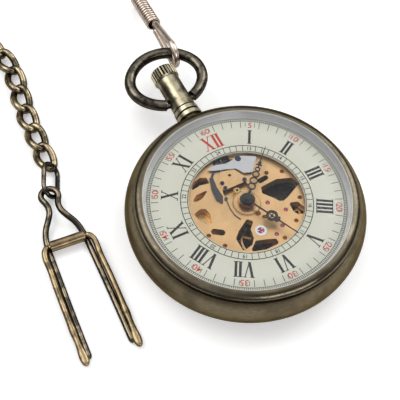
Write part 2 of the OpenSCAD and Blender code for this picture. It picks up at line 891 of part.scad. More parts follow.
module escape_wheel() {
    color([0.85, 0.8, 0.7])
        translate([escape_at[0], escape_at[1], 0]) {
            translate([0, 0, 6.35])
                linear_extrude(height = 0.16)
                    difference() {
                        polygon(escape_points(escape_teeth, 1.93, 1.45));
                        difference() {
                            circle(r = 1.2);
                            circle(r = 0.5, $fn = 32);
                            for (a = [0, 72, 144, 216, 288])
                                rotate(a)
                                    translate([0, -0.1])
                                        square([1.3, 0.2]);
                        }
                    }
            translate([0, 0, 7.05])
                rotate(meshed(fourth_at, escape_at, fourth_teeth, 0, escape_leaves))
                    gear(escape_leaves, m_fourth, 0.6, 0.7);
            translate([0, 0, 5.1])
                cylinder(h = 4.2, r = 0.1, $fn = 24);
            translate([0, 0, 5.8])
                cylinder(h = 1.5, r = 0.18, $fn = 24);
        }
}

module pallet_fork() {
    color([0.7, 0.72, 0.75])
        translate([pallet_at[0], pallet_at[1], 0]) {
            translate([0, 0, 6.35])
                linear_extrude(height = 0.16) {
                    circle(r = 0.38, $fn = 32);
                    // Lever to the balance, with a fork at its end
                    bar([0, 0], [-1.62, 1.34], 0.26);
                    bar([-1.62, 1.34], [-1.62, 1.72], 0.16);
                    bar([-1.62, 1.34], [-2.0, 1.34], 0.16);
                    // Two arms to the escape wheel
                    bar([0, 0], [0.9, -0.69], 0.2);
                    bar([0, 0], [-0.2, 1.12], 0.2);
                }
            // Pallet stones
            translate([0, 0, 6.3])
                linear_extrude(height = 0.26) {
                    bar([0.9, -0.69], [0.96, -0.6], 0.16);
                    bar([-0.2, 1.12], [-0.1, 1.12], 0.16);
                }
            translate([0, 0, 5.8])
                cylinder(h = 3.5, r = 0.1, $fn = 24);
        }
}

module balance_wheel() {
    color([0.8, 0.78, 0.72])
        translate([balance_at[0], balance_at[1], 0]) {
            translate([0, 0, 5.2])
                linear_extrude(height = 0.4)
                    difference() {
                        circle(r = 3.6, $fn = 96);
                        difference() {
                            circle(r = 3.2, $fn = 96);
                            circle(r = 0.6, $fn = 32);
                            for (a = [20, 140, 260])
                                rotate(a)
                                    translate([0, -0.22])
                                        square([3.3, 0.44]);
                        }
                    }
            // Timing screws round the rim
            for (i = [0 : 13])
                rotate(i * 360 / 14)
                    translate([3.5, 0, 5.4])
                        rotate([0, 90, 0])
                            cylinder(h = 0.4, r = 0.16, $fn = 16);
            // Staff, roller and impulse pin
            translate([0, 0, 4.0])
                cylinder(h = 5.1, r = 0.12, $fn = 24);
            translate([0, 0, 5.0])
                cylinder(h = 1.9, r = 0.28, $fn = 24);
            translate([0, 0, 6.0])
                cylinder(h = 0.2, r = 0.72, $fn = 32);
            rotate(140)
                translate([0.55, 0, 6.0])
                    cylinder(h = 0.5, r = 0.08, $fn = 16);
        }
}

module hairspring() {
    color([0.3, 0.38, 0.6])
        translate([balance_at[0], balance_at[1], 4.68])
            linear_extrude(height = 0.14) {
                polygon(spiral(0.45, 2.3, 7, 0.05, 20));
                difference() {
                    circle(r = 0.5, $fn = 32);
                    circle(r = 0.14, $fn = 24);
                }
            }
}

module regulator() {
    color([0.7, 0.72, 0.75])
        translate([balance_at[0], balance_at[1], 3.68])
            linear_extrude(height = 0.2)
                difference() {
                    union() {
                        circle(r = 0.95, $fn = 32);
                        bar([0, 0], [-1.2, -2.6], 0.3);
                        bar([0, 0], [1.4, 1.2], 0.4);
                    }
                    circle(r = 0.5, $fn = 32);
                }
}

// ---------- movement: motion work and setting work ----------

module cannon_pinion() {
    color([0.1, 0.11, 0.16])
        difference() {
            union() {
                translate([0, 0, 8.28])
                    gear(cannon_leaves, m_minute, 0.4, 0.8);
                translate([0, 0, 8.28])
                    cylinder(h = 3.4, r = 0.68, $fn = 32);
                translate([0, 0, 11.64])
                    cylinder(h = 0.22, r = 0.82, $fn = 32);
                translate([0, 0, 11.86])
                    cylinder(h = 0.2, r = 0.58, $fn = 32);
            }
            translate([0, 0, 8])
                cylinder(h = 2.25, r = 0.41, $fn = 32);
        }
}

module hour_wheel() {
    color([0.86, 0.7, 0.42])
        difference() {
            union() {
                translate([0, 0, 9.55])
                    rotate(meshed(minute_at, [0, 0], minute_leaves, 0, hour_teeth))
                        wheel(hour_teeth, m_hour, 0.25, 0.6, 1.3, 4, 0.5);
                translate([0, 0, 9.55])
                    cylinder(h = 1.5, r = 1.0, $fn = 32);
                translate([0, 0, 9.55])
                    cylinder(h = 0.3, r = 1.35, $fn = 32);
            }
            translate([0, 0, 9])
                cylinder(h = 3, r = 0.74, $fn = 32);
        }
}

// Thin copper spring washer on the hour wheel
module dial_washer() {
    color([0.8, 0.45, 0.25])
        translate([0, 0, 9.86])
            tube(0.1, 1.9, 1.02);
}

module minute_wheel() {
    color([0.86, 0.72, 0.45])
        translate([minute_at[0], minute_at[1], 0])
            difference() {
                union() {
                    translate([0, 0, 8.3])
                        rotate(minute_turn)
                            gear(minute_teeth, m_minute, 0.3);
                    translate([0, 0, 8.6])
                        gear(minute_leaves, m_hour, 1.2, 0.75);
                }
                translate([0, 0, 8])
                    cylinder(h = 3, r = 0.27, $fn = 24);
            }
}

module setting_wheel() {
    color([0.75, 0.76, 0.78])
        translate([setting_at[0], setting_at[1], 8.3])
            rotate(meshed(minute_at, setting_at, minute_teeth, minute_turn, setting_teeth))
                difference() {
                    gear(setting_teeth, m_minute, 0.3, 0.8);
                    translate([0, 0, -1])
                        cylinder(h = 3, r = 0.3, $fn = 24);
                }
}

module winding_pinion() {
    color([0.7, 0.72, 0.75])
        translate([0, 10.78, stem_z])
            rotate([-90, 0, 0])
                difference() {
                    union() {
                        linear_extrude(height = 0.75)
                            polygon(gear_points(winding_leaves, 1.82, 1.4, 0.9));
                        cylinder(h = 0.84, r = 1.05);
                    }
                    translate([0, 0, -1])
                        cylinder(h = 4, r = 0.47, $fn = 32);
                }
}

module clutch() {
    color([0.65, 0.67, 0.7])
        translate([0, 9.3, stem_z])
            rotate([-90, 0, 0])
                difference() {
                    union() {
                        linear_extrude(height = 0.35)
                            polygon(gear_points(12, 1.5, 1.25, 0.9));
                        cylinder(h = 1.4, r = 1.0);
                        translate([0, 0, 0.85])
                            linear_extrude(height = 0.55)
                                polygon(gear_points(20, 1.5, 1.32, 0.9));
                    }
                    translate([0, 0, -1])
                        cylinder(h = 4, r = 0.47, $fn = 32);
                }
}

module setting_lever() {
    color([0.6, 0.62, 0.66]) {
        translate([0, 0, 9.52])
            linear_extrude(height = 0.26)
                union() {
                    bar([3.3, 11.5], [0.55, 11.95], 0.5);
                    bar([3.3, 11.5], [4.9, 10.8], 0.6);
                    translate([3.3, 11.5])
                        circle(r = 0.5, $fn = 32);
                }
        translate([3.3, 11.5, 8.6])
            cylinder(h = 1, r = 0.3, $fn = 24);
        translate([0.55, 11.95, 7.1])
            cylinder(h = 2.5, r = 0.2, $fn = 24);
    }
}

module yoke() {
    color([0.2, 0.2, 0.22]) {
        translate([0, 0, 9.52])
            linear_extrude(height = 0.26) {
                bar([-3.6, 8], [-2.6, 9.1], 0.5);
                bar([-2.6, 9.1], [0, 9.9], 0.45);
                rounded([[-3.9, 8], [-3.5, 7.8], [-3.8, 5.6], [-3.7, 3.4], [-4.3, 2.2], [-4.9, 3.2], [-4.7, 5.4]], 0.18);
            }
        translate([-3.6, 8, 8.6])
            cylinder(h = 1, r = 0.3, $fn = 24);
        translate([0, 9.9, 8.35])
            cylinder(h = 1.3, r = 0.2, $fn = 24);
    }
}

// Thin wire spring that pushes the yoke
module yoke_spring() {
    color([0.12, 0.12, 0.14])
        translate([0, 0, 9.52])
            linear_extrude(height = 0.2) {
                bar([-3.2, 2.6], [-3.5, 0.4], 0.14);
                bar([-3.5, 0.4], [-3.4, -1.3], 0.14);
                bar([-3.4, -1.3], [-2.8, -2.6], 0.14);
                translate([-3.2, 2.6])
                    circle(r = 0.35, $fn = 24);
            }
}

// Steel cover plate of the setting work
module keyless_cover() {
    color([0.72, 0.73, 0.76])
        difference() {
            union() {
                translate([0, 0, 9.82])
                    linear_extrude(height = 0.24)
                        rounded([[-3.0, 9.8], [-2.4, 9.5], [0.1, 8.75], [1.9, 8.1], [2.9, 6.5], [4.2, 6.1], [6.3, 8.5],
                            [4.0, 9.7], [2.2, 9.6], [0.4, 9.3], [-1.6, 9.9]], 0.35);
                // Feet that stand on the plate
                for (p = [[3.15, 9.68], [5.4, 7.9]])
                    translate([p[0], p[1], 9.52])
                        cylinder(h = 0.4, r = 0.5, $fn = 24);
            }
            translate([3.15, 9.68, 9])
                cylinder(h = 2, r = 0.26, $fn = 24);
        }
}

// ---------- jewels and screws ----------

module train_jewels() {
    color([0.75, 0.1, 0.25]) {
        for (p = [third_at, fourth_at, escape_at, pallet_at])
            translate([p[0], p[1], 9.1])
                tube(0.36, 0.45, 0.16);
        for (p = [third_at, fourth_at])
            translate([p[0], p[1], 5.05])
                tube(0.4, 0.45, 0.16);
        translate([escape_at[0], escape_at[1], 5.05])
            tube(0.4, 0.3, 0.12);
        translate([balance_at[0], balance_at[1], 3.95])
            tube(0.4, 0.48, 0.14);
        // Cap stone of the balance, on the dial side
        translate([balance_at[0], balance_at[1], 9.14])
            cylinder(h = 0.28, r = 0.69, $fn = 32);
    }
}

// Spring-held setting round the balance's upper jewel
module shock_setting() {
    color([0.85, 0.85, 0.88])
        translate([balance_at[0], balance_at[1], 0]) {
            translate([0, 0, 8.3])
                tube(1.24, 1.15, 0.7);
            translate([0, 0, 8.3])
                tube(0.5, 0.8, 0.16);
            // Lyre spring over the stone
            translate([0, 0, 9.44])
                linear_extrude(height = 0.1)
                    for (a = [40, 160, 280])
                        rotate(a)
                            bar([0.35, 0], [0.85, 0], 0.16);
        }
}

module plate_screws() {
    color([0.2, 0.3, 0.5]) {
        screw([3.15, 9.68], 10.07, 0.62, 0.02 + 0.0, 0.25, 1.4);
        screw([-2.3, 6.0], 9.81, 0.42, 0.2, 0.24, 1.2);
        screw([-2.24, 4.75], 9.81, 0.4, 0.2, 0.24, 1.2);
        screw([2.1, 4.9], 9.81, 0.42, 0.2, 0.24, 1.2);
    }
    // Back side: ratchet bridge, train bridge and cock screws
    color([0.35, 0.4, 0.55]) {
        for (p = [[-11.6, -2.5], [-5.2, 10.6], [3.85, 11.05], [11.2, 3.5], [11.3, -3.9], [4.5, -11]])
            translate([p[0], p[1], 4.55])
                cylinder(h = 0.39, r = 0.75, $fn = 32);
        translate([-5.1, -10.25, 3.6])
            cylinder(h = 0.6, r = 0.58, $fn = 32);
        translate([crown_wheel_at[0], crown_wheel_at[1], 4.1])
            cylinder(h = 0.28, r = 1.5, $fn = 32);
        translate([crown_wheel_at[0], crown_wheel_at[1], 4.2])
            cylinder(h = 0.74, r = 1.0, $fn = 32);
    }
}

// ---------- hook ----------

module at_hook() {
    translate(hook_at)
        rotate([0, 0, hook_heading])
            rotate([-hook_slope, 0, 0])
                children();
}

module hook() {
    color([0.72, 0.55, 0.36])
        at_hook() {
            // Bend round the bow
            rotate([180, -90, 0])
                rotate_extrude(angle = 180)
                    translate([hook_bend_r, 0])
                        circle(r = hook_rod_r, $fn = 32);
            // Upper leg runs on as the shank; the lower leg is the tip
            for (s = [-1, 1]) {
                translate([0, 0, s * hook_bend_r])
                    sphere(r = hook_rod_r + 0.02, $fn = 32);
                rod([0, 0, s * hook_bend_r], [0, 9.8, s * 0.98], hook_rod_r - 0.02, hook_rod_r - 0.04);
                translate([0, 9.8, s * 0.98])
                    sphere(r = hook_rod_r + 0.01, $fn = 32);
            }
            rod([0, 9.8, -0.98], [0, 12.4, -0.66], 0.52, 0.46);
            rod([0, 9.8, 0.98], [0, 13.2, 0.25], 0.52, 0.48);
            translate([0, 13.2, 0.25])
                sphere(r = 0.54, $fn = 32);
            rod([0, 13.2, 0.25], [0, 16.2, 0], 0.48, 0.46);
            translate([0, 16.1, 0])
                rotate([-90, 0, 0])
                    cylinder(h = 8.8, r = 0.5, $fn = 32);
            // Collar the spring pushes from; the sleeve's open end runs over it
            translate([0, 21.6, 0])
                rotate([-90, 0, 0])
                    cylinder(h = 0.6, r = 1.22, $fn = 32);
            // Eye for the chain
            translate([0, 25.9, 0])
                rotate_extrude()
                    translate([1.15, 0])
                        circle(r = 0.42, $fn = 24);
        }
}

module hook_sleeve() {
    color([0.78, 0.56, 0.42])
        at_hook()
            rotate([-90, 0, 0])
                rotate_extrude()
                    difference() {
                        union() {
                            translate([0, 11.2])
                                square([sleeve_r - 0.22, 10.9]);
                            // Ribs for the finger and thumb
                            for (i = [0 : 12])
                                translate([sleeve_r - 0.32, 11.6 + i * 0.84])
                                    circle(r = 0.32, $fn = 24);
                        }
                        // Front room for the hook's tip, wall, and rear room for the spring
                        translate([-1, 10])
                            square([2.3, 5.3]);
                        translate([-1, 15])
                            square([1.56, 2]);
                        translate([-1, 16])
                            square([2.3, 8]);
                        translate([-9, 0])
                            square([9, 40]);
                    }
}

module hook_spring() {
    color([0.75, 0.76, 0.8])
        at_hook()
            rotate([-90, 0, 0])
                translate([0, 0, 18.1])
                    difference() {
                        cylinder(h = 3.48, r = 1.12, $fn = 32);
                        translate([0, 0, -1])
                            cylinder(h = 6, r = 0.56, $fn = 32);
                        for (i = [0 : 7])
                            translate([0, 0, 0.28 + i * 0.4])
                                tube(0.14, 1.5, 0.8);
                    }
}

// ---------- chain and clip ----------

// A flattened tube swept along points: one closed polyhedron with eight sides
module chain_tube(points) {
    n = len(points);
    sides = 8;
    function dir(i) = let (a = points[max(i - 1, 0)], b = points[min(i + 1, n - 1)]) (b - a) / norm(b - a);
    ring_pts = [for (i = [0 : n - 1], k = [0 : sides - 1])
        let (d = dir(i), a = 360 / sides * (k + 0.5))
        [points[i][0] - d[1] * chain_w / 2 * cos(a), points[i][1] + d[0] * chain_w / 2 * cos(a),
            chain_z + chain_h / 2 * sin(a)]];
    side_faces = [for (i = [0 : n - 2], k = [0 : sides - 1])
        [i * sides + k, i * sides + (k + 1) % sides, (i + 1) * sides + (k + 1) % sides, (i + 1) * sides + k]];
    start_cap = [[for (k = [0 : sides - 1]) sides - 1 - k]];
    end_cap = [[for (k = [0 : sides - 1]) (n - 1) * sides + k]];
    polyhedron(points = ring_pts, faces = concat(side_faces, start_cap, end_cap), convexity = 4);
}

module chain_run_a() {
    color([0.6, 0.5, 0.34])
        chain_tube(run_a);
}

module chain_run_b() {
    color([0.6, 0.5, 0.34])
        chain_tube(run_b);
}

// The coiled length, as one flat ring
module chain_coil() {
    color([0.6, 0.5, 0.34])
        translate([coil_at[0], coil_at[1], 0])
            rotate_extrude($fn = 64)
                translate([12, 0.05])
                    square([11.3, 2.3]);
}

// Oval ring between the chain and the clip
module clip_ring() {
    color([0.62, 0.52, 0.36])
        translate([ring_at[0], ring_at[1], clip_z])
            rotate(-23.5)
                rotate([0, 50, 0])
                    for (s = [0, 180])
                        rotate(s) {
                            translate([0, 1.8, 0])
                                rotate_extrude(angle = 180)
                                    translate([2, 0])
                                        circle(r = 0.48, $fn = 32);
                            translate([2, -1.8, 0])
                                rotate([-90, 0, 0])
                                    cylinder(h = 3.6, r = 0.48, $fn = 32);
                        }
}

module at_clip() {
    translate([clip_at[0], clip_at[1], 0])
        rotate(clip_turn)
            children();
}

// One wire: a leg, up under the bar, round the eye and back down to the other leg
module clip_frame() {
    r = clip_rod_r;
    color([0.42, 0.36, 0.28])
        at_clip() {
            translate([0, 0, clip_z])
                rotate_extrude()
                    translate([1.75, 0])
                        circle(r = r, $fn = 32);
            for (s = [-1, 1]) {
                neck = [s * 0.95, -2.9, clip_z];
                waist = [s * 1.75, -5.2, 1.75];
                foot = [bar_x + s * 3.7, bar_y + 1.6, 0.72];
                rod([s * 1.15, -1.2, clip_z], neck, r - 0.1, r - 0.05);
                translate(neck)
                    sphere(r = r + 0.01, $fn = 32);
                rod(neck, waist, r - 0.05, r - 0.07);
                translate(waist)
                    sphere(r = r + 0.01, $fn = 32);
                // Down to the table, then under the bar and along the jaw
                rod(waist, foot, r - 0.07, r - 0.05);
                translate(foot)
                    sphere(r = r + 0.02, $fn = 32);
                rod(foot, [bar_x + s * 4.1, -35.6, 0.66], r - 0.05, 0.55);
                translate([bar_x + s * 4.1, -35.6, 0.66])
                    sphere(r = 0.6, $fn = 32);
            }
        }
}

module clip_bar() {
    color([0.7, 0.6, 0.42])
        at_clip()
            translate([bar_x - 3.5, bar_y, bar_z])
                rotate([0, 90, 0])
                    tube(7, 1.1, 0.55);
}

// The sprung jaw: a pin in the bar, and a flattened front wire beside each leg
module clip_prongs() {
    color([0.66, 0.55, 0.38])
        at_clip() {
            translate([bar_x - 4.4, bar_y, bar_z])
                rotate([0, 90, 0])
                    cylinder(h = 8.8, r = 0.5, $fn = 32);
            for (s = [-1, 1]) {
                elbow = [bar_x + s * 4.55, bar_y, bar_z];
                bend = [bar_x + s * 5.25, bar_y - 2.2, 1.7];
                tip = [bar_x + s * 5.42, -36.4, 0.95];
                translate(elbow)
                    rotate([0, 90, 0])
                        translate([0, 0, -0.45])
                            cylinder(h = 0.9, r = 0.63, $fn = 32);
                rod(elbow, bend, 0.55, 0.57);
                translate(bend)
                    sphere(r = 0.67, $fn = 32);
                rod(bend, tip, 0.61, 0.56);
                translate(tip)
                    sphere(r = 0.63, $fn = 32);
            }
        }
}

case_band();
back_cover();
bezel();
crystal();
crystal_gasket();
dial_ring();
movement_ring();
case_screws();
pendant();
crown();
winding_stem();
bow();
dial();
hour_hand();
minute_hand();
main_plate();
barrel_bridge();
train_bridge();
balance_cock();
pallet_bridge();
minute_bridge();
barrel_drum();
mainspring();
barrel_arbor();
ratchet_wheel();
crown_wheel();
click();
click_spring();
center_wheel();
third_wheel();
fourth_wheel();
escape_wheel();
pallet_fork();
balance_wheel();
hairspring();
regulator();
cannon_pinion();
hour_wheel();
dial_washer();
minute_wheel();
setting_wheel();
winding_pinion();
clutch();
setting_lever();
yoke();
yoke_spring();
keyless_cover();
train_jewels();
shock_setting();
plate_screws();
hook();
hook_sleeve();
hook_spring();
chain_run_a();
chain_coil();
chain_run_b();
clip_ring();
clip_frame();
clip_bar();
clip_prongs();
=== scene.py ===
import bpy
import bmesh
import json
import math
from mathutils import Matrix, Vector


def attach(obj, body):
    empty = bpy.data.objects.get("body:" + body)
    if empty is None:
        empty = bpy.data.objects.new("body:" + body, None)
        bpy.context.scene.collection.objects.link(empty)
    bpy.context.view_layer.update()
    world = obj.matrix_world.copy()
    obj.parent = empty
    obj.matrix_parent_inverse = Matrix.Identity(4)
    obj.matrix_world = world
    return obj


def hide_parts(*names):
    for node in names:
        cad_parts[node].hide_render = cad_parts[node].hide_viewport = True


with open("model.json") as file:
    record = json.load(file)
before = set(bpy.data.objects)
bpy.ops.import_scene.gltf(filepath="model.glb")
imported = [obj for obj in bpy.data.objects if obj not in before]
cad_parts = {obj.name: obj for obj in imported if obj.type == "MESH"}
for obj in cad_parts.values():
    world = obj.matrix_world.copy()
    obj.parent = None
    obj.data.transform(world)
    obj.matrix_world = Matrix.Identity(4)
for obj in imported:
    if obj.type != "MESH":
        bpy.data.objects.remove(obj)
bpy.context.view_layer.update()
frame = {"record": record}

MM = 0.001
scene = bpy.context.scene


# ---------- camera, light and floor ----------

def look(obj, at, aim, roll):
    """Point an object's -Z at aim, with its own roll."""
    f = (Vector(aim) - Vector(at)).normalized()
    right = f.cross(Vector((0, 0, 1))).normalized()
    up = right.cross(f)
    r = math.radians(roll)
    right2 = right * math.cos(r) + up * math.sin(r)
    up2 = -right * math.sin(r) + up * math.cos(r)
    m = Matrix((right2, up2, -f)).transposed().to_4x4()
    m.translation = Vector(at)
    obj.matrix_world = m


cam_data = bpy.data.cameras.new("camera")
cam_data.lens = 102.0
cam_data.sensor_width = 36.0
cam_data.clip_start = 0.01
cam = bpy.data.objects.new("camera", cam_data)
scene.collection.objects.link(cam)
look(cam, (-0.0686, -0.0938, 0.1973), (-0.0082, 0.0041, 0.0105), 5.4)
scene.camera = cam
scene.view_settings.view_transform = "Standard"
scene.view_settings.look = "None"


def area(name, at, aim, size, power, color=(1, 1, 1), size_y=None):
    d = bpy.data.lights.new(name, "AREA")
    d.energy = power
    d.color = color
    d.size = size
    if size_y:
        d.shape = "RECTANGLE"
        d.size_y = size_y
    o = bpy.data.objects.new(name, d)
    scene.collection.objects.link(o)
    look(o, at, aim, 0)


area("key", (-0.22, 0.26, 0.42), (0, 0, 0), 0.34, 0.9, (1, 0.99, 0.97))
area("fill", (0.34, 0.10, 0.32), (0, 0, 0), 0.26, 0.65, (0.97, 0.98, 1))
area("front", (0.05, -0.40, 0.26), (0, 0, 0), 0.34, 0.6, (1, 1, 1), 0.12)

world = bpy.data.worlds.new("studio")
scene.world = world
world.use_nodes = True
wt = world.node_tree
wt.nodes.clear()
VIEWER = (0.15, -0.62, 0.77)  # direction of the dark patch that somebody at the table makes


def world_ramp(*stops):
    """A ramp in the world's node tree, from (position, colour) stops."""
    n = wt.nodes.new("ShaderNodeValToRGB")
    els = n.color_ramp.elements
    els[0].position, els[0].color = stops[0][0], (*stops[0][1], 1)
    els[1].position, els[1].color = stops[-1][0], (*stops[-1][1], 1)
    for at, colour in stops[1:-1]:
        els.new(at).color = (*colour, 1)
    return n


w_out = wt.nodes.new("ShaderNodeOutputWorld")
w_bg = wt.nodes.new("ShaderNodeBackground")
w_bg.inputs["Strength"].default_value = 0.9
w_tc = wt.nodes.new("ShaderNodeTexCoord")
w_sep = wt.nodes.new("ShaderNodeSeparateXYZ")
w_sky = world_ramp((0.0, (0.03, 0.03, 0.03)), (0.3, (0.08, 0.08, 0.085)), (0.75, (1, 1, 1)))
w_dot = wt.nodes.new("ShaderNodeVectorMath")
w_dot.operation = "DOT_PRODUCT"
w_dot.inputs[1].default_value = VIEWER
w_patch = world_ramp((0.83, (1, 1, 1)), (0.92, (0.25, 0.25, 0.25)))
w_mul = wt.nodes.new("ShaderNodeVectorMath")
w_mul.operation = "MULTIPLY"
for source, target in ((w_tc.outputs["Generated"], w_sep.inputs[0]), (w_sep.outputs[2], w_sky.inputs[0]),
                       (w_tc.outputs["Generated"], w_dot.inputs[0]),
                       (w_dot.outputs["Value"], w_patch.inputs[0]), (w_sky.outputs[0], w_mul.inputs[0]),
                       (w_patch.outputs[0], w_mul.inputs[1]), (w_mul.outputs[0], w_bg.inputs[0]),
                       (w_bg.outputs[0], w_out.inputs[0])):
    wt.links.new(source, target)


# ---------- materials ----------

class Mat:
    """A node material with a few helpers. Coordinates are metres in the frame."""

    def __init__(self, name, metallic=0.0, rough=0.5, color=(0.5, 0.5, 0.5)):
        self.mat = bpy.data.materials.new(name)
        self.mat.use_nodes = True
        self.t = self.mat.node_tree
        self.b = self.t.nodes["Principled BSDF"]
        self.b.inputs["Metallic"].default_value = metallic
        self.b.inputs["Roughness"].default_value = rough
        self.b.inputs["Base Color"].default_value = (*color, 1)
        self.tc = self.t.nodes.new("ShaderNodeTexCoord")

    def node(self, kind, **props):
        n = self.t.nodes.new(kind)
        for k, v in props.items():
            setattr(n, k, v)
        return n

    def link(self, a, b):
        self.t.links.new(a, b)

    def math(self, op, a, b=0.0):
        n = self.node("ShaderNodeMath", operation=op)
        for i, v in enumerate((a, b)):
            if isinstance(v, (int, float)):
                n.inputs[i].default_value = v
            else:
                self.link(v, n.inputs[i])
        return n.outputs[0]

    def scaled(self, sx, sy, sz):
        n = self.node("ShaderNodeMapping")
        n.inputs["Scale"].default_value = (sx, sy, sz)
        self.link(self.tc.outputs["Object"], n.inputs["Vector"])
        return n.outputs[0]

    def polar(self, kr, ka, kz):
        """Vector (radius, angle, height) about the dial's axis, each with its own scale."""
        s = self.node("ShaderNodeSeparateXYZ")
        self.link(self.tc.outputs["Object"], s.inputs[0])
        r = self.math("SQRT", self.math("ADD", self.math("MULTIPLY", s.outputs[0], s.outputs[0]),
                                        self.math("MULTIPLY", s.outputs[1], s.outputs[1])))
        ang = self.math("ARCTAN2", s.outputs[1], s.outputs[0])
        c = self.node("ShaderNodeCombineXYZ")
        self.link(self.math("MULTIPLY", r, kr), c.inputs[0])
        self.link(self.math("MULTIPLY", ang, ka), c.inputs[1])
        self.link(self.math("MULTIPLY", s.outputs[2], kz), c.inputs[2])
        return c.outputs[0]

    def noise(self, scale, detail=3.0, vec=None):
        n = self.node("ShaderNodeTexNoise")
        n.inputs["Scale"].default_value = scale
        n.inputs["Detail"].default_value = detail
        n.inputs["Roughness"].default_value = 0.55
        self.link(vec or self.tc.outputs["Object"], n.inputs["Vector"])
        return n.outputs[0]

    def ramp(self, fac, *stops):
        n = self.node("ShaderNodeValToRGB")
        els = n.color_ramp.elements
        els[0].position, els[0].color = stops[0][0], (*stops[0][1], 1)
        els[1].position, els[1].color = stops[-1][0], (*stops[-1][1], 1)
        for p, c in stops[1:-1]:
            els.new(p).color = (*c, 1)
        self.link(fac, n.inputs[0])
        return n.outputs[0]

    def mix(self, fac, a, b):
        n = self.node("ShaderNodeMix", data_type="RGBA")
        for i, v in ((0, fac), (6, a), (7, b)):  # the colour sockets of the mix node
            if isinstance(v, (int, float)):
                n.inputs[i].default_value = v
            elif isinstance(v, tuple):
                n.inputs[i].default_value = (*v, 1)
            else:
                self.link(v, n.inputs[i])
        return n.outputs[2]

    def color(self, sock):
        self.link(sock, self.b.inputs["Base Color"])

    def roughness(self, fac, low, high):
        n = self.node("ShaderNodeMapRange")
        n.inputs["To Min"].default_value = low
        n.inputs["To Max"].default_value = high
        self.link(fac, n.inputs[0])
        self.link(n.outputs[0], self.b.inputs["Roughness"])

    def bump(self, height, dist, strength=0.3):
        n = self.node("ShaderNodeBump")
        n.inputs["Strength"].default_value = strength
        n.inputs["Distance"].default_value = dist
        self.link(height, n.inputs["Height"])
        self.link(n.outputs[0], self.b.inputs["Normal"])

    def edges(self):
        """1 on sharp outer edges, 0 on flats."""
        g = self.node("ShaderNodeNewGeometry")
        return self.ramp(g.outputs["Pointiness"], (0.49, (0, 0, 0)), (0.56, (1, 1, 1)))


STEM_Z = 0.0073  # height of the crown's axis
CROWN_Y = (0.0349, 0.0374)  # the fluted part of the crown
FLUTES = 24


def flute_gaps(m):
    """Painted shade: 1 in the gaps between the crown's flutes, 0 elsewhere."""
    at = m.node("ShaderNodeSeparateXYZ")
    m.link(m.tc.outputs["Object"], at.inputs[0])
    turn = m.math("ARCTAN2", m.math("SUBTRACT", at.outputs[2], STEM_Z), at.outputs[0])
    wave = m.math("COSINE", m.math("MULTIPLY", turn, FLUTES))
    gap = m.ramp(wave, (0.0, (0, 0, 0)), (0.35, (1, 1, 1)))
    crown = m.math("MULTIPLY", m.math("GREATER_THAN", at.outputs[1], CROWN_Y[0]),
                   m.math("LESS_THAN", at.outputs[1], CROWN_Y[1]))
    return m.math("MULTIPLY", gap, crown)


def old_brass(name, light, mid, dark, rough, lines=None, wear=0.6, spot=420, top_highlight=0.0, low=0.35, high=0.85,
              flutes=False, patchy=0.9):
    """Antique plated metal: dark patina, rubbed edges and fine lines, with painted highlight and shade.

    top_highlight is how far faces that look up are painted bright, a painted highlight as if lit from above,
    between the slopes low and high. patchy makes that uneven, and spot is the scale of its patches. flutes
    adds painted shade in the gaps between the crown's flutes.
    """
    m = Mat(name, 1.0, 0.3)
    m.b.inputs["Specular Tint"].default_value = (0.4, 0.38, 0.34, 1)
    big = m.noise(spot, 3)
    body = m.ramp(big, (0.3, dark), (0.55, mid), (0.8, mid))
    if lines == "round":
        vec = m.polar(7000, 22, 7000)
    elif lines == "y":
        vec = m.scaled(9000, 500, 9000)
    else:
        vec = m.scaled(3500, 3500, 3500)
    fine = m.noise(1.0, 4, vec)
    streak = m.ramp(fine, (0.35, (0, 0, 0)), (0.65, (1, 1, 1)))
    col = m.mix(m.math("MULTIPLY", streak, 0.75 if lines == "round" else 0.5), body, dark)
    if top_highlight:
        g = m.node("ShaderNodeNewGeometry")
        z = m.node("ShaderNodeSeparateXYZ")
        m.link(g.outputs["Normal"], z.inputs[0])
        uneven = m.math("MULTIPLY", m.math("SUBTRACT", big, 0.5), patchy)
        # painted highlight: faces that look up are painted in the light colour, as if lit from above
        up = m.ramp(m.math("ADD", z.outputs[2], uneven), (low, (0, 0, 0)), (high, (1, 1, 1)))
        col = m.mix(m.math("MULTIPLY", up, top_highlight), col, light)
    col = m.mix(m.math("MULTIPLY", m.edges(), wear), col, light)
    if flutes:
        # painted shade: the gaps between the crown's flutes go near black
        col = m.mix(flute_gaps(m), col, (0.012, 0.011, 0.010))
    m.color(col)
    m.roughness(fine, *rough)
    m.bump(fine, 0.00002, 0.35)
    return m.mat


def brushed(name, color, rough, lathe=False):
    """Machined metal with fine lines, straight or turned about the dial's axis."""
    m = Mat(name, 1.0, 0.3)
    vec = m.polar(26000, 3, 8000) if lathe else m.scaled(2500, 40000, 2500)
    fine = m.noise(1.0, 3, vec)
    wide = m.noise(300, 2)
    dark = tuple(c * 0.75 for c in color)
    col = m.mix(fine, dark, color)
    col = m.mix(m.math("MULTIPLY", wide, 0.35), col, tuple(c * 0.8 for c in color))
    m.color(col)
    m.roughness(fine, *rough)
    m.bump(fine, 0.000008)
    return m.mat


def perlage(name, color):
    """Gilt plate with a fine frosted grain and faint overlapping circles."""
    m = Mat(name, 1.0, 0.35)
    v = m.node("ShaderNodeTexVoronoi", feature="F1")
    v.inputs["Scale"].default_value = 620
    v.inputs["Randomness"].default_value = 0.15
    m.link(m.tc.outputs["Object"], v.inputs["Vector"])
    ring = m.math("SINE", m.math("MULTIPLY", v.outputs["Distance"], 34))
    grain = m.noise(9000, 2)
    both = m.math("ADD", m.math("MULTIPLY", ring, 0.25), grain)
    wide = m.noise(260, 3)
    col = m.ramp(wide, (0.3, tuple(c * 0.82 for c in color)), (0.7, color))
    col = m.mix(m.math("MULTIPLY", grain, 0.3), col, tuple(c * 0.7 for c in color))
    m.color(col)
    m.roughness(grain, 0.3, 0.5)
    m.bump(both, 0.000012, 0.35)
    return m.mat


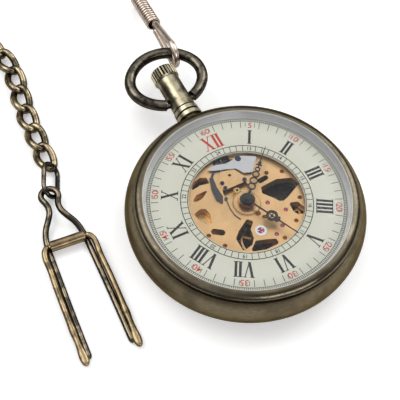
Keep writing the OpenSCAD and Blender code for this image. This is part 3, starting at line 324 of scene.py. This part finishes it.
def plain(name, color, rough, scale=2500, vary=0.12, bump=0.000006, metallic=0.0, coat=0.0):
    """Paint, lacquer or plastic with slight mottling."""
    m = Mat(name, metallic, rough)
    n = m.noise(scale, 3)
    low = tuple(c * (1 - vary) for c in color)
    m.color(m.ramp(n, (0.3, low), (0.7, color)))
    m.roughness(n, rough * 0.85, min(1, rough * 1.15))
    m.bump(n, bump)
    m.b.inputs["Coat Weight"].default_value = coat
    m.b.inputs["Coat Roughness"].default_value = 0.06
    return m.mat


M = {}
# the metals from pendant_metal on get a painted highlight on faces that look up
for args in (
    ("case_metal", (0.34, 0.28, 0.18), (0.14, 0.112, 0.068), (0.05, 0.04, 0.025), (0.24, 0.42),
     "round", 0.5, 260),
    ("bezel_metal", (0.36, 0.31, 0.22), (0.125, 0.104, 0.07), (0.045, 0.037, 0.026), (0.16, 0.34),
     "round", 0.5, 260),
    # pendant_metal also paints shade into the gaps between the crown's flutes
    ("pendant_metal", (0.56, 0.50, 0.35), (0.055, 0.047, 0.032), (0.014, 0.012, 0.010), (0.24, 0.42),
     "y", 0.5, 500, 0.9, 0.78, 1.05, True),
    ("bow_metal", (0.20, 0.175, 0.135), (0.055, 0.049, 0.038), (0.016, 0.015, 0.013), (0.2, 0.36),
     None, 0.3, 500, 0.85, 0.68, 1.2, False, 1.8),
    ("hook_metal", (0.85, 0.72, 0.62), (0.32, 0.24, 0.18), (0.06, 0.05, 0.045), (0.22, 0.38),
     None, 0.8, 500, 0.9, 0.3, 0.9),
    ("chain_metal", (0.45, 0.36, 0.22), (0.055, 0.044, 0.030), (0.012, 0.011, 0.010), (0.2, 0.36),
     None, 0.2, 420, 0.95, 0.68, 1.05, False, 2.6),
    ("clip_metal", (0.40, 0.30, 0.17), (0.11, 0.075, 0.043), (0.03, 0.024, 0.017), (0.22, 0.4),
     None, 0.4, 420, 0.9, 0.55, 1.05, False, 2.8),
    ("dark_wire", (0.28, 0.23, 0.15), (0.040, 0.038, 0.035), (0.014, 0.015, 0.017), (0.18, 0.34),
     None, 0.2, 420, 0.8, 0.9, 1.25),
):
    M[args[0]] = old_brass(*args)
M["polished_steel"] = plain("polished_steel", (0.86, 0.87, 0.89), 0.2, 900, 0.05, 0.000004, 0.55)
M["steel"] = brushed("steel", (0.66, 0.67, 0.69), (0.22, 0.4))
M["dark_steel"] = brushed("dark_steel", (0.09, 0.09, 0.10), (0.25, 0.4))
M["blued_steel"] = brushed("blued_steel", (0.05, 0.07, 0.14), (0.12, 0.25))
M["copper"] = brushed("copper", (0.78, 0.36, 0.17), (0.2, 0.35), lathe=True)
M["gear_brass"] = brushed("gear_brass", (0.80, 0.55, 0.26), (0.2, 0.36), lathe=True)
M["gilt"] = perlage("gilt", (0.78, 0.51, 0.255))
# black_plate is painted shade: near black for the steel bridges that sit in shade under the dial
M["black_plate"] = plain("black_plate", (0.028, 0.026, 0.024), 0.4, 1500, 0.3, metallic=0.3)
# dark_ring is painted shade: the ring at the dial's edge is near black for the shadow that falls there
M["dark_ring"] = plain("dark_ring", (0.05, 0.048, 0.045), 0.5)
M["gasket"] = plain("gasket", (0.7, 0.7, 0.66), 0.5)
M["hand_black"] = plain("hand_black", (0.006, 0.006, 0.008), 0.16, coat=0.15)
M["ruby"] = plain("ruby", (0.40, 0.03, 0.09), 0.08, 1200, 0.3, coat=1.0)


def dial_paint():
    """Satin cream print coat, a little greener at its edges and darker there as painted shade."""
    m = Mat("dial_enamel", 0.0, 0.45)
    s = m.node("ShaderNodeSeparateXYZ")
    m.link(m.polar(1 / MM, 1, 1), s.inputs[0])
    # radial ramp: towards the dial's edges a little greener, the paint's own tint, and darker, a painted
    # shade
    body = m.ramp(m.math("DIVIDE", s.outputs[0], 22.0), (0.5, (0.64, 0.645, 0.53)),
                  (0.72, (0.67, 0.68, 0.58)), (0.92, (0.62, 0.63, 0.53)))
    grain = m.noise(1400, 4)
    col = m.mix(m.math("MULTIPLY", grain, 0.10), body, (0.48, 0.49, 0.40))
    m.color(col)
    m.roughness(grain, 0.4, 0.55)
    m.bump(grain, 0.000004, 0.2)
    return m.mat


M["dial_enamel"] = dial_paint()


def crystal_glass():
    """Almost clear, faintly uneven glass."""
    m = Mat("crystal", 0.0, 0.02, (0.3, 0.3, 0.3))
    n = m.noise(90, 1)
    m.roughness(n, 0.015, 0.03)
    m.b.inputs["Alpha"].default_value = 0.05
    m.b.inputs["IOR"].default_value = 1.5
    return m.mat


M["crystal"] = crystal_glass()
M["ink_black"] = plain("ink_black", (0.015, 0.017, 0.016), 0.4, 4000, 0.2)
M["ink_red"] = plain("ink_red", (0.55, 0.03, 0.02), 0.42, 4000, 0.15)
M["floor"] = plain("floor", (0.99, 0.99, 0.99), 0.7, 40, 0.01, 0.00001)
# the floor gives off a little light, so that shadows stay faint as on a light table
floor_shader = M["floor"].node_tree.nodes["Principled BSDF"]
floor_shader.inputs["Emission Color"].default_value = (1, 1, 1, 1)
floor_shader.inputs["Emission Strength"].default_value = 0.3

for sub in frame["record"]["subparts"]:
    slot = sub["material_slot"]
    obj = bpy.data.objects.get(sub["node"])
    if obj is None:
        continue
    for i in range(max(1, len(obj.material_slots))):
        if i >= len(obj.material_slots):
            obj.data.materials.append(M[slot])
        else:
            obj.material_slots[i].material = M[slot]


def piece(name, bm, mat, body, smooth=True):
    """A piece of the visual model from a bmesh, which is used up."""
    me = bpy.data.meshes.new(name)
    bm.to_mesh(me)
    bm.free()
    for p in me.polygons:
        p.use_smooth = smooth
    me.materials.append(M[mat])
    o = bpy.data.objects.new(name, me)
    scene.collection.objects.link(o)
    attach(o, body)
    return o


# floor
fl = bmesh.new()
bmesh.ops.create_grid(fl, x_segments=2, y_segments=2, size=2.5)
fme = bpy.data.meshes.new("floor")
fl.to_mesh(fme)
fl.free()
floor = bpy.data.objects.new("floor", fme)
floor.location.z = -0.01 * MM
fme.materials.append(M["floor"])
scene.collection.objects.link(floor)


# ---------- chain ----------

def spline(points, step):
    """Points at even steps along a Catmull-Rom curve through given points."""
    pts = [Vector(p) for p in points]
    pts = [pts[0] * 2 - pts[1]] + pts + [pts[-1] * 2 - pts[-2]]
    dense = []
    for i in range(1, len(pts) - 2):
        a, b, c, d = pts[i - 1:i + 3]
        for k in range(24):
            t = k / 24
            dense.append(0.5 * (2 * b + (c - a) * t + (2 * a - 5 * b + 4 * c - d) * t * t
                                + (3 * b - a - 3 * c + d) * t ** 3))
    dense.append(pts[-2])
    out, run = [dense[0]], 0.0
    for a, b in zip(dense, dense[1:]):
        seg = (b - a).length
        while run + seg >= step * len(out):
            out.append(a.lerp(b, (step * len(out) - run) / seg))
        run += seg
    return out, run


def chain_route():
    """The chain's centre line in metres, from the hook to the clip's ring."""
    z = 1.3  # half the height of a link lying on the floor
    pts = [(6.9, 68.0, z), (7.1, 70.0, z), (7.5, 73.0, z), (8.2, 76.5, z), (9.2, 80.0, z), (10.6, 84.2, z),
           (11.6, 88.5, z)]
    # one and a half turns of a flat spiral, 4.7 mm from turn to turn
    for k in range(0, 27):
        a = k * 20
        r = 21 - 4.7 * a / 360
        pts.append((-9 + r * math.cos(math.radians(a)), 97 + r * math.sin(math.radians(a)), z))
    # over the outer turn and away
    pts += [(-24.0, 94.8, 1.9), (-25.4, 91.8, 3.4), (-27.2, 88.4, 3.4), (-28.7, 85, 2.4), (-29.7, 80, z)]
    pts += [(-30.3, 74, z), (-30.1, 68, z), (-28.4, 62.4, z), (-27, 57.3, z), (-27.5, 51.7, z),
            (-28.4, 46.5, z), (-29, 41.3, z), (-29.2, 36, z), (-29.6, 31, z), (-29.5, 28.4, z)]
    return [Vector(p) * MM for p in pts]


route = chain_route()


def closed_tube(bm, pts, radius, sides):
    """A round wire through a closed row of points."""
    n = len(pts)
    rings = []
    up = Vector((0, 0, 1))
    for i, p in enumerate(pts):
        d = (pts[(i + 1) % n] - pts[(i - 1) % n]).normalized()
        s = up.cross(d)
        if s.length < 0.05:
            s = Vector((1, 0, 0))
        s.normalize()
        u = d.cross(s)
        rings.append([bm.verts.new(p + (s * math.cos(q) + u * math.sin(q)) * radius)
                      for q in (2 * math.pi * k / sides for k in range(sides))])
    for i in range(n):
        r1, r2 = rings[i], rings[(i + 1) % n]
        for k in range(sides):
            bm.faces.new((r1[k], r1[(k + 1) % sides], r2[(k + 1) % sides], r2[k]))


LINK_HALF_LENGTH = 3.05 * MM
LINK_HALF_WIDTH = 1.58 * MM
LINK_TWIST = -0.55 * MM  # how far a curb link's corners are bent up and down
LINK_ROD = 0.74 * MM


def curb_link(bm, at, heading, pitch_z):
    """One twisted link about a point, along a heading, with its slope in z."""
    c, s = math.cos(heading), math.sin(heading)
    segs = 28
    pts = []
    for k in range(segs):
        t = 2 * math.pi * k / segs
        x, y, z = LINK_HALF_LENGTH * math.cos(t), LINK_HALF_WIDTH * math.sin(t), LINK_TWIST * math.sin(2 * t)
        pts.append(at + Vector((x * c - y * s, x * s + y * c, z + x * pitch_z)))
    closed_tube(bm, pts, LINK_ROD, 10)


PITCH = 5.3 * MM
stations, route_len = spline(route, PITCH / 2)
bm = bmesh.new()
for i in range(1, len(stations) - 1, 2):
    a, b = stations[i - 1], stations[i + 1]
    d = b - a
    curb_link(bm, (a + b) / 2 * 0.5 + stations[i] * 0.5, math.atan2(d.y, d.x), d.z / max(d.length, 1e-6))
bmesh.ops.recalc_face_normals(bm, faces=bm.faces)
chain = piece("curb_chain", bm, "chain_metal", "case")
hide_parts("chain_run_a", "chain_coil", "chain_run_b")

# ---------- clip ----------

CLIP = Matrix.Translation((-0.03245, 0.0223, 0)) @ Matrix.Rotation(math.radians(-4), 4, "Z")
BAR_X = -0.2  # the jaws' middle, in the clip's own frame
WIRE_SIDES = 16
WIRE_STEP = 0.25
END_TAPER = (0.45, 0.78, 0.93)  # share of the full thickness in the last rings of a wire


def wire(name, points, radius, mat, body, flat=None):
    """A wire through given points in the clip's own frame; flat gives width and thickness along it."""
    line = spline(points, WIRE_STEP)[0]
    b = bmesh.new()
    n = len(line)
    rings = []
    for i, p in enumerate(line):
        d = (line[min(i + 1, n - 1)] - line[max(i - 1, 0)]).normalized()
        side = d.cross(Vector((0, 0, 1)))
        if side.length < 0.05:
            side = Vector((1, 0, 0))
        side.normalize()
        up = side.cross(d)
        w, h = flat(i / (n - 1)) if flat else (radius, radius)
        end = min(i, n - 1 - i)
        if end < len(END_TAPER):
            w, h = w * END_TAPER[end], h * END_TAPER[end]
        rings.append([b.verts.new((p + side * (w * math.cos(q)) + up * (h * math.sin(q))) * MM)
                      for q in (2 * math.pi * k / WIRE_SIDES for k in range(WIRE_SIDES))])
    for r1, r2 in zip(rings, rings[1:]):
        for k in range(WIRE_SIDES):
            b.faces.new((r1[k], r1[(k + 1) % WIRE_SIDES], r2[(k + 1) % WIRE_SIDES], r2[k]))
    b.faces.new(list(reversed(rings[0])))
    b.faces.new(rings[-1])
    b.transform(CLIP)
    bmesh.ops.recalc_face_normals(b, faces=b.faces)
    return piece(name, b, mat, body)


half = [(1.2, -1.55, 2.04), (0.98, -2.6, 2.03), (1.15, -3.9, 1.95), (1.9, -5.4, 1.75), (2.75, -6.8, 1.45),
        (3.3, -8.2, 1.05), (3.6, -9.8, 0.74), (3.75, -12, 0.7), (3.95, -20, 0.68), (4.1, -28, 0.66),
        (4.15, -35.6, 0.66)]
loop = [(1.75 * math.sin(math.radians(q)), 1.75 * math.cos(math.radians(q)), 2.04)
        for q in range(-120, 121, 20)]
# the other side mirrors the first about a line that leans over to the jaws' middle
left = [(2 * BAR_X - x if y < -6 else BAR_X * (y / -6) * 2 - x, y, z) for x, y, z in reversed(half)]
frame_wire = wire("clip_wire", left + loop + half, 0.63, "dark_wire", "clip")
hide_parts("clip_frame")


def jaw(t):
    """Width and thickness of the jaw's flattened wire: a bulge, a waist and a lens at the tip."""
    w = 0.62 + 0.12 * math.exp(-((t - 0.72) / 0.05) ** 2) + 0.26 * math.exp(-((t - 0.93) / 0.06) ** 2)
    return w, 0.56 - 0.08 * math.exp(-((t - 0.93) / 0.07) ** 2)


for s in (-1, 1):
    line = [(3.6, -11.05, 1.9), (4.35, -11.15, 1.95), (4.95, -11.9, 1.9), (5.2, -13.3, 1.75),
            (5.15, -16, 1.6), (5.35, -21, 1.45), (5.4, -27, 1.25), (5.35, -32, 1.1), (5.3, -36.9, 0.95)]
    wire("jaw_left" if s < 0 else "jaw_right", [(BAR_X + s * x, y, z) for x, y, z in line], 0.6,
                     "clip_metal", "prongs", flat=jaw)
pin = wire("jaw_pin", [(BAR_X + x, -11.05, 1.9) for x in (-4.2, 0, 4.2)], 0.48,
           "clip_metal", "prongs")
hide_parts("clip_prongs")

path = [tuple(p) for p in spline(route, 0.002)[0]]

# ---------- dial print ----------

DZ = 10.5 * MM  # the dial's face
INK = 0.02 * MM  # how far the print stands out
SUNK = 0.01 * MM  # how far the print reaches into the dial
HOUR_R = 15.1
TICK_R = 18.0
FINE_R = 19.2
BOX_R = 12.25
MINUTE_NUMBER_R = 17.85


def flat(bm, pts, h=INK):
    """A thin printed shape from an outline, as a closed slab."""
    low = [bm.verts.new((x * MM, y * MM, DZ - SUNK)) for x, y in pts]
    high = [bm.verts.new((x * MM, y * MM, DZ + h)) for x, y in pts]
    n = len(pts)
    bm.faces.new(list(reversed(low)))
    bm.faces.new(high)
    for i in range(n):
        bm.faces.new((low[i], low[(i + 1) % n], high[(i + 1) % n], high[i]))


def turned(pts, clock, radius):
    """Shape drawn upright about (0, 0), moved out to radius and turned clockwise by clock degrees."""
    a = math.radians(-clock)
    return [(x * math.cos(a) - (y + radius) * math.sin(a), x * math.sin(a) + (y + radius) * math.cos(a))
            for x, y in pts]


def ring_band(bm, r1, r2):
    """A thin printed ring between two radii."""
    n = 180
    section = ((r1, DZ - SUNK), (r2, DZ - SUNK), (r2, DZ + INK), (r1, DZ + INK))
    verts = []
    for k in range(n):
        a = 2 * math.pi * k / n
        verts.append([bm.verts.new((r * MM * math.cos(a), r * MM * math.sin(a), z)) for r, z in section])
    for k in range(n):
        a, b = verts[k], verts[(k + 1) % n]
        for j in range(4):
            bm.faces.new((a[j], a[(j + 1) % 4], b[(j + 1) % 4], b[j]))


def stroke(x1, y1, x2, y2, w):
    """Upright stroke between two heights, with ends cut level."""
    return [(x1 - w / 2, y1), (x1 + w / 2, y1), (x2 + w / 2, y2), (x2 - w / 2, y2)]


def bar(x1, x2, y, h):
    """A level bar, such as a serif."""
    return [(x1, y), (x2, y), (x2, y + h), (x1, y + h)]


def numeral(text, h):
    """Roman numeral as strokes, centred on (0, 0)."""
    thick, thin, gap, ser = 0.155 * h, 0.055 * h, 0.10 * h, 0.045 * h
    width = {"I": thick, "V": 0.66 * h, "X": 0.66 * h}
    total = sum(width[ch] + gap for ch in text) - gap
    top, bottom = h / 2 - ser, -h / 2
    shapes = []
    x = 0.0
    for ch in text:
        w = width[ch]
        a = x - total / 2
        x += w + gap
        if ch == "I":
            shapes.append(stroke(a + w / 2, -h / 2, a + w / 2, h / 2, thick))
            serifs = [(a - gap * 0.55, a + w + gap * 0.55, y) for y in (bottom, top)]
        elif ch == "V":
            shapes.append(stroke(a + w * 0.52, -h / 2, a + w * 0.2, h / 2, thick))
            shapes.append(stroke(a + w * 0.52, -h / 2, a + w * 0.86, h / 2, thin))
            serifs = [(a + w * (cx - reach), a + w * (cx + reach), top)
                      for cx, reach in ((0.2, 0.2), (0.86, 0.14))]
        else:
            shapes.append(stroke(a + w * 0.8, -h / 2, a + w * 0.2, h / 2, thick))
            shapes.append(stroke(a + w * 0.16, -h / 2, a + w * 0.84, h / 2, thin))
            serifs = [(a + w * (cx - reach), a + w * (cx + reach), y)
                      for cx, reach, y in ((0.2, 0.2, top), (0.86, 0.14, top), (0.8, 0.2, bottom),
                                          (0.14, 0.14, bottom))]
        shapes += [bar(x1, x2, y, ser) for x1, x2, y in serifs]
    return shapes


ROMAN = ["XII", "I", "II", "III", "IIII", "V", "VI", "VII", "VIII", "IX", "X", "XI"]
black, red = bmesh.new(), bmesh.new()
for k, word in enumerate(ROMAN):
    for i, shape in enumerate(numeral(word, 3.3)):
        # strokes that cross end at slightly different heights
        flat(red if k == 0 else black, turned(shape, k * 30, HOUR_R), h=INK + 0.000002 * (i % 5))
# minute track: long ticks at the minutes, a pair at each numbered one, a dense fine scale outside them
for k in range(60):
    if k % 5:
        flat(black, turned(stroke(0, -0.72, 0, 0.72, 0.12), k * 6, TICK_R))
for k in range(0, 60, 5):
    for side in (-1, 1):
        flat(black, turned(stroke(0, -0.5, 0, 0.5, 0.1), k * 6 + side * 3.04, TICK_R))
for k in range(300):
    flat(black, turned(stroke(0, -0.24, 0, 0.24, 0.13), k * 1.2, FINE_R))
ring_band(black, 18.86, 18.95)
ring_band(black, 19.44, 19.56)
# ring of boxes round the opening, open where the hour numbers stand
ring_band(black, 12.86, 13.02)
ring_band(black, 11.5, 11.64)
for k in range(60):
    if k % 5:
        flat(black, turned(stroke(0, -0.62, 0, 0.62, 0.12), k * 6, BOX_R))
piece("dial_print_black", black, "ink_black", "case", False)
piece("dial_print_red", red, "ink_red", "case", False)


def text_mesh(word, size):
    """A number as a thin solid, centred on its own origin."""
    c = bpy.data.curves.new("t", "FONT")
    c.body = word
    c.size = size * MM
    c.extrude = 0.00001
    c.offset = 0.00001
    c.align_x = "CENTER"
    c.align_y = "CENTER"
    o = bpy.data.objects.new("t", c)
    scene.collection.objects.link(o)
    dg = bpy.context.evaluated_depsgraph_get()
    me = bpy.data.meshes.new_from_object(o.evaluated_get(dg))
    bpy.data.objects.remove(o)
    return me


def numbers(name, words, radius, size, mat, wide):
    """Twelve numbers round the dial, the first one at one o'clock."""
    out = bmesh.new()
    for k, word in enumerate(words):
        me = text_mesh(word, size)
        a = math.radians(-30 * (k + 1))
        m = (Matrix.Rotation(a, 4, "Z") @ Matrix.Translation((0, radius * MM, DZ + SUNK))
             @ Matrix.Diagonal((wide, 1, 1, 1)))
        me.transform(m)
        out.from_mesh(me)
        bpy.data.meshes.remove(me)
    piece(name, out, mat, "case", False)


numbers("minute_numbers", [str(k) for k in range(5, 61, 5)], MINUTE_NUMBER_R, 1.8, "ink_red", 1.0)
numbers("hour_numbers", [str(k) for k in range(13, 25)], BOX_R, 1.15, "ink_black", 0.9)
